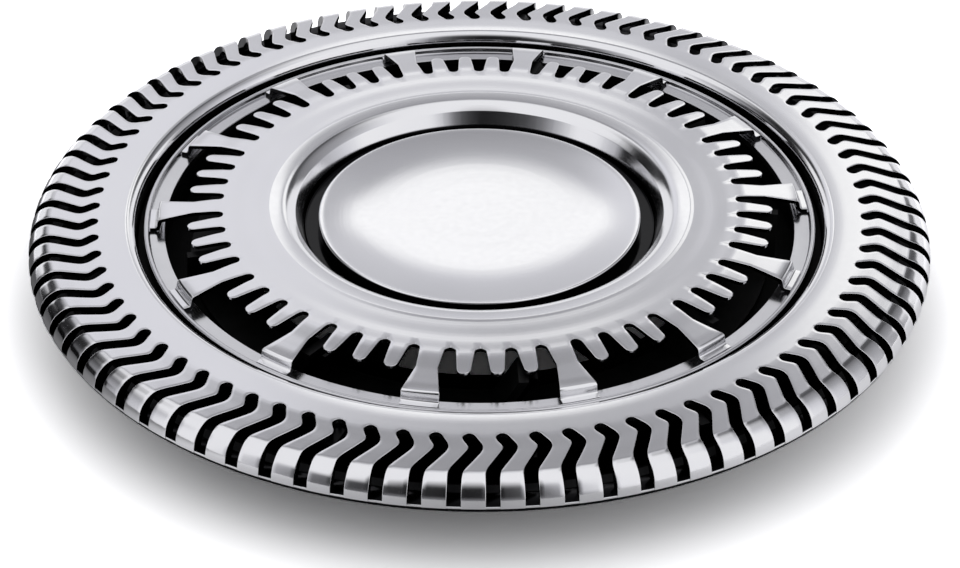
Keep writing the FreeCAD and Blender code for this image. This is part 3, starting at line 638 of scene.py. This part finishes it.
studio = {
    # the paper's shade: on its own, to the camera under and beyond the head, and its share of blue
    # to the camera the paper brightens outwards from the head: painted light that narrows the head's shadow
    "floorSize": 400.0, "paper": 0.85, "seen": 2.3, "seenBeyond": 4.2, "beyond": (11.6, 16.0), "blue": 0.985,
    # and its shade in the metal, by bearing from the back: painted light and shade in the reflections
    "inMetal": [(-180, 0.58), (-150, 0.85), (-135, 1.1), (-115, 0.4), (-90, 0.2), (-70, 0.14),
                (-58, 0.4), (-48, 2.4), (45, 2.4), (56, 1.9), (75, 1.5), (90, 1.1), (110, 1.15),
                (130, 1.2), (158, 0.75), (180, 0.58)],
}


def studioFloor(s):
    half = s["floorSize"] / 2
    corners = [(-half, -half, 0), (half, -half, 0), (half, half, 0), (-half, half, 0)]
    floor = meshObject("floor", corners, [(0, 1, 2, 3)])
    material, shade = newMaterial("floorPaper")
    x, y = shade.node("ShaderNodeTexCoord", None, "Object").split()[:2]
    bearing = x.math("ARCTAN2", y) / (2 * math.pi)
    outward = ((x * x + y * y).math("SQRT") / mm).band(*s["beyond"])
    toCamera = shade.node("ShaderNodeLightPath", None, "Is Camera Ray")
    toMetal = shade.node("ShaderNodeLightPath", None, "Is Glossy Ray")
    plain, seen, beyond = ((s[name], s[name], s[name] * s["blue"], 1.0)
                           for name in ("paper", "seen", "seenBeyond"))
    stops = [((at + 180) / 360, (level, level, level, 1.0)) for at, level in s["inMetal"]]
    inMetal = shade.node("ShaderNodeValToRGB", {"stops": stops}, Fac=bearing + 0.5)
    # painted light and shade: brighter outwards for the camera, and by bearing in the metal's reflections
    colour = toCamera.mix(toMetal.mix(plain, inMetal), outward.mix(seen, beyond))
    finishWith(shade, shade.node("ShaderNodeBsdfDiffuse", Color=colour))
    floor.data.materials.append(material)


# What stands round the head, as display levels of 0-255. Bearings count from the back, to the
# right, and elevations from the horizon, in degrees.
surroundings = {
    "walls": [(-180, 30), (-165, 45), (-150, 72), (-140, 115), (-130, 180), (-118, 238), (-104, 236),
              (-94, 195), (-84, 158), (-75, 112), (-65, 54), (-58, 34), (-46, 46), (-38, 95), (-32, 155),
              (-25, 190), (18, 190), (21, 110), (25, 76), (31, 80), (37, 112), (52, 140), (70, 165),
              (80, 192), (92, 216), (104, 242), (150, 236), (158, 190), (164, 105), (172, 60), (180, 32)],
    "front": (140.0, 165.0), "frontWall": 122, "frontFades": (-4.0, 16.0), "frontCeiling": (46.0, 88.0),
    "ceiling": 238, "ceilingFrom": (32.0, 50.0), "rightLift": 18.0, "rightFrom": (0.0, 20.0),
    "leftLift": 7.0, "leftPlace": (-46.0, 6.0, 14.0),
    # the window at the back, by elevation, and its oval
    "window": [(-90, 200), (10, 184), (18, 188), (23, 198), (28, 206), (33, 210), (36.5, 204), (38, 178),
               (42, 168), (46, 156), (47.5, 146), (50, 146), (53, 156), (56, 196), (60, 228), (90, 236)],
    "windowBearing": -2.5, "windowElevation": 33.0, "windowWide": 21.0, "windowTall": 26.0,
    "windowSoft": 0.1,
    # soft boxes and dark screens: level, then elevation, half height and softness, then bearing,
    # half width and softness
    "softBoxes": [(226, 33.5, 6.0, 5.0, -12.0, 5.0, 4.0), (258, 29.5, 6.0, 3.0, 13.4, 3.6, 1.4),
                  (172, 37.5, 1.6, 1.2, 3.0, 2.5, 2.0), (182, 33.5, 4.0, 2.0, 5.8, 0.9, 0.9),
                  (276, 32.7, 1.9, 0.5, 0.0, 3.4, 1.0), (58, 29.5, 4.0, 6.0, -34.0, 5.0, 7.0),
                  (14, 0.0, 12.0, 5.0, -73.0, 10.0, 6.0)],
    # the bright table edge behind the head: its top is low at the middle and rises to the sides
    "table": 238, "tableTop": 12.0, "tableRise": 0.4, "tableHighest": 20.0, "tableSoft": 5.0,
    "tablePlace": (5.0, 50.0, 10.0),
    "violet": 0.045, "violetFrom": 250, "violetRun": 25,
}


def grey(level):
    # A display level as a linear colour, faintly violet below white.
    s = surroundings
    linear = (level / 255) ** 2.2
    tint = s["violet"] * min(1.0, max(0.0, (s["violetFrom"] - level) / s["violetRun"]))
    return (linear * (1 - tint / 3), linear * (1 - tint / 3), linear * (1 + tint), 1.0)


def levelRamp(place, levels, lowest, span):
    stops = [((at - lowest) / span, grey(level)) for at, level in levels]
    return place.node("ShaderNodeValToRGB", {"stops": stops}, Fac=place / span - lowest / span)


def studioLight(s):
    # The surroundings are painted by direction, and the camera itself sees white.
    world = bpy.data.worlds.new("studio")
    bpy.context.scene.world = world
    world.use_nodes = True
    world.node_tree.nodes.clear()
    shade = Shade(world.node_tree)
    x, y, z = shade.node("ShaderNodeTexCoord", None, "Generated").split()
    elevation = z.math("ARCSINE") * (180 / math.pi)
    bearing = x.math("ARCTAN2", y) * (180 / math.pi)
    walls = levelRamp(bearing, s["walls"], -180, 360)
    window = levelRamp(elevation, s["window"], -90, 180)
    across = (bearing - s["windowBearing"]) / s["windowWide"]
    upward = (elevation - s["windowElevation"]) / s["windowTall"]
    offWindow = (across * across + upward * upward).math("SQRT").band(1.0, 1.0 + s["windowSoft"])
    inFront = bearing.math("ABSOLUTE").band(*s["front"])
    lift = bearing.band(*s["rightFrom"]) * s["rightLift"]
    overhead = elevation - lift - bearing.bump(*s["leftPlace"]) * s["leftLift"]
    overhead = overhead.band(*s["ceilingFrom"])
    overhead = overhead + (elevation.band(*s["frontCeiling"]) - overhead) * inFront
    walls = (inFront * (1.0 - elevation.band(*s["frontFades"]))).mix(walls, grey(s["frontWall"]))
    colour = offWindow.mix(window, overhead.mix(walls, grey(s["ceiling"])))
    for level, height, tall, softTall, side, wide, softWide in s["softBoxes"]:
        box = elevation.bump(height, tall, softTall) * bearing.bump(side, wide, softWide)
        colour = box.mix(colour, grey(level))
    tableTop = (bearing.math("ABSOLUTE") * s["tableRise"] + s["tableTop"]).math("MINIMUM", s["tableHighest"])
    onTable = (1.0 - (elevation - tableTop).band(0.0, s["tableSoft"])) * bearing.bump(*s["tablePlace"])
    colour = onTable.mix(colour, grey(s["table"]))
    painted = shade.node("ShaderNodeBackground", Color=colour, Strength=1.0)
    white = shade.node("ShaderNodeBackground", Color=(1.0, 1.0, 1.0, 1.0), Strength=1.0)
    toCamera = shade.node("ShaderNodeLightPath", None, "Is Camera Ray")
    both = shade.node("ShaderNodeMixShader", in0=toCamera, in1=painted, in2=white)
    output = world.node_tree.nodes.new("ShaderNodeOutputWorld")
    world.node_tree.links.new(both.socket, output.inputs["Surface"])


view = {
    "location": (0.0, -51.484, 35.372), "target": (0.0126, -3.836, 2.5), "roll": 0.0023,
    "lens": 89.25, "sensor": 36.0, "near": 0.001, "far": 10.0,
}


def studioCamera(s):
    data = bpy.data.cameras.new("camera")
    camera = bpy.data.objects.new("camera", data)
    bpy.context.scene.collection.objects.link(camera)
    data.lens, data.sensor_width, data.sensor_fit = s["lens"], s["sensor"], "HORIZONTAL"
    data.clip_start, data.clip_end = s["near"], s["far"]
    location, target = Vector(s["location"]) * mm, Vector(s["target"]) * mm
    turn = (target - location).to_track_quat("-Z", "Y").to_matrix().to_4x4()
    camera.matrix_world = Matrix.Translation(location) @ turn @ Matrix.Rotation(s["roll"], 4, "Z")
    bpy.context.scene.camera = camera


studioFloor(studio)
studioLight(surroundings)
studioCamera(view)
bpy.context.scene.view_settings.view_transform = "Standard"
print("studio made")
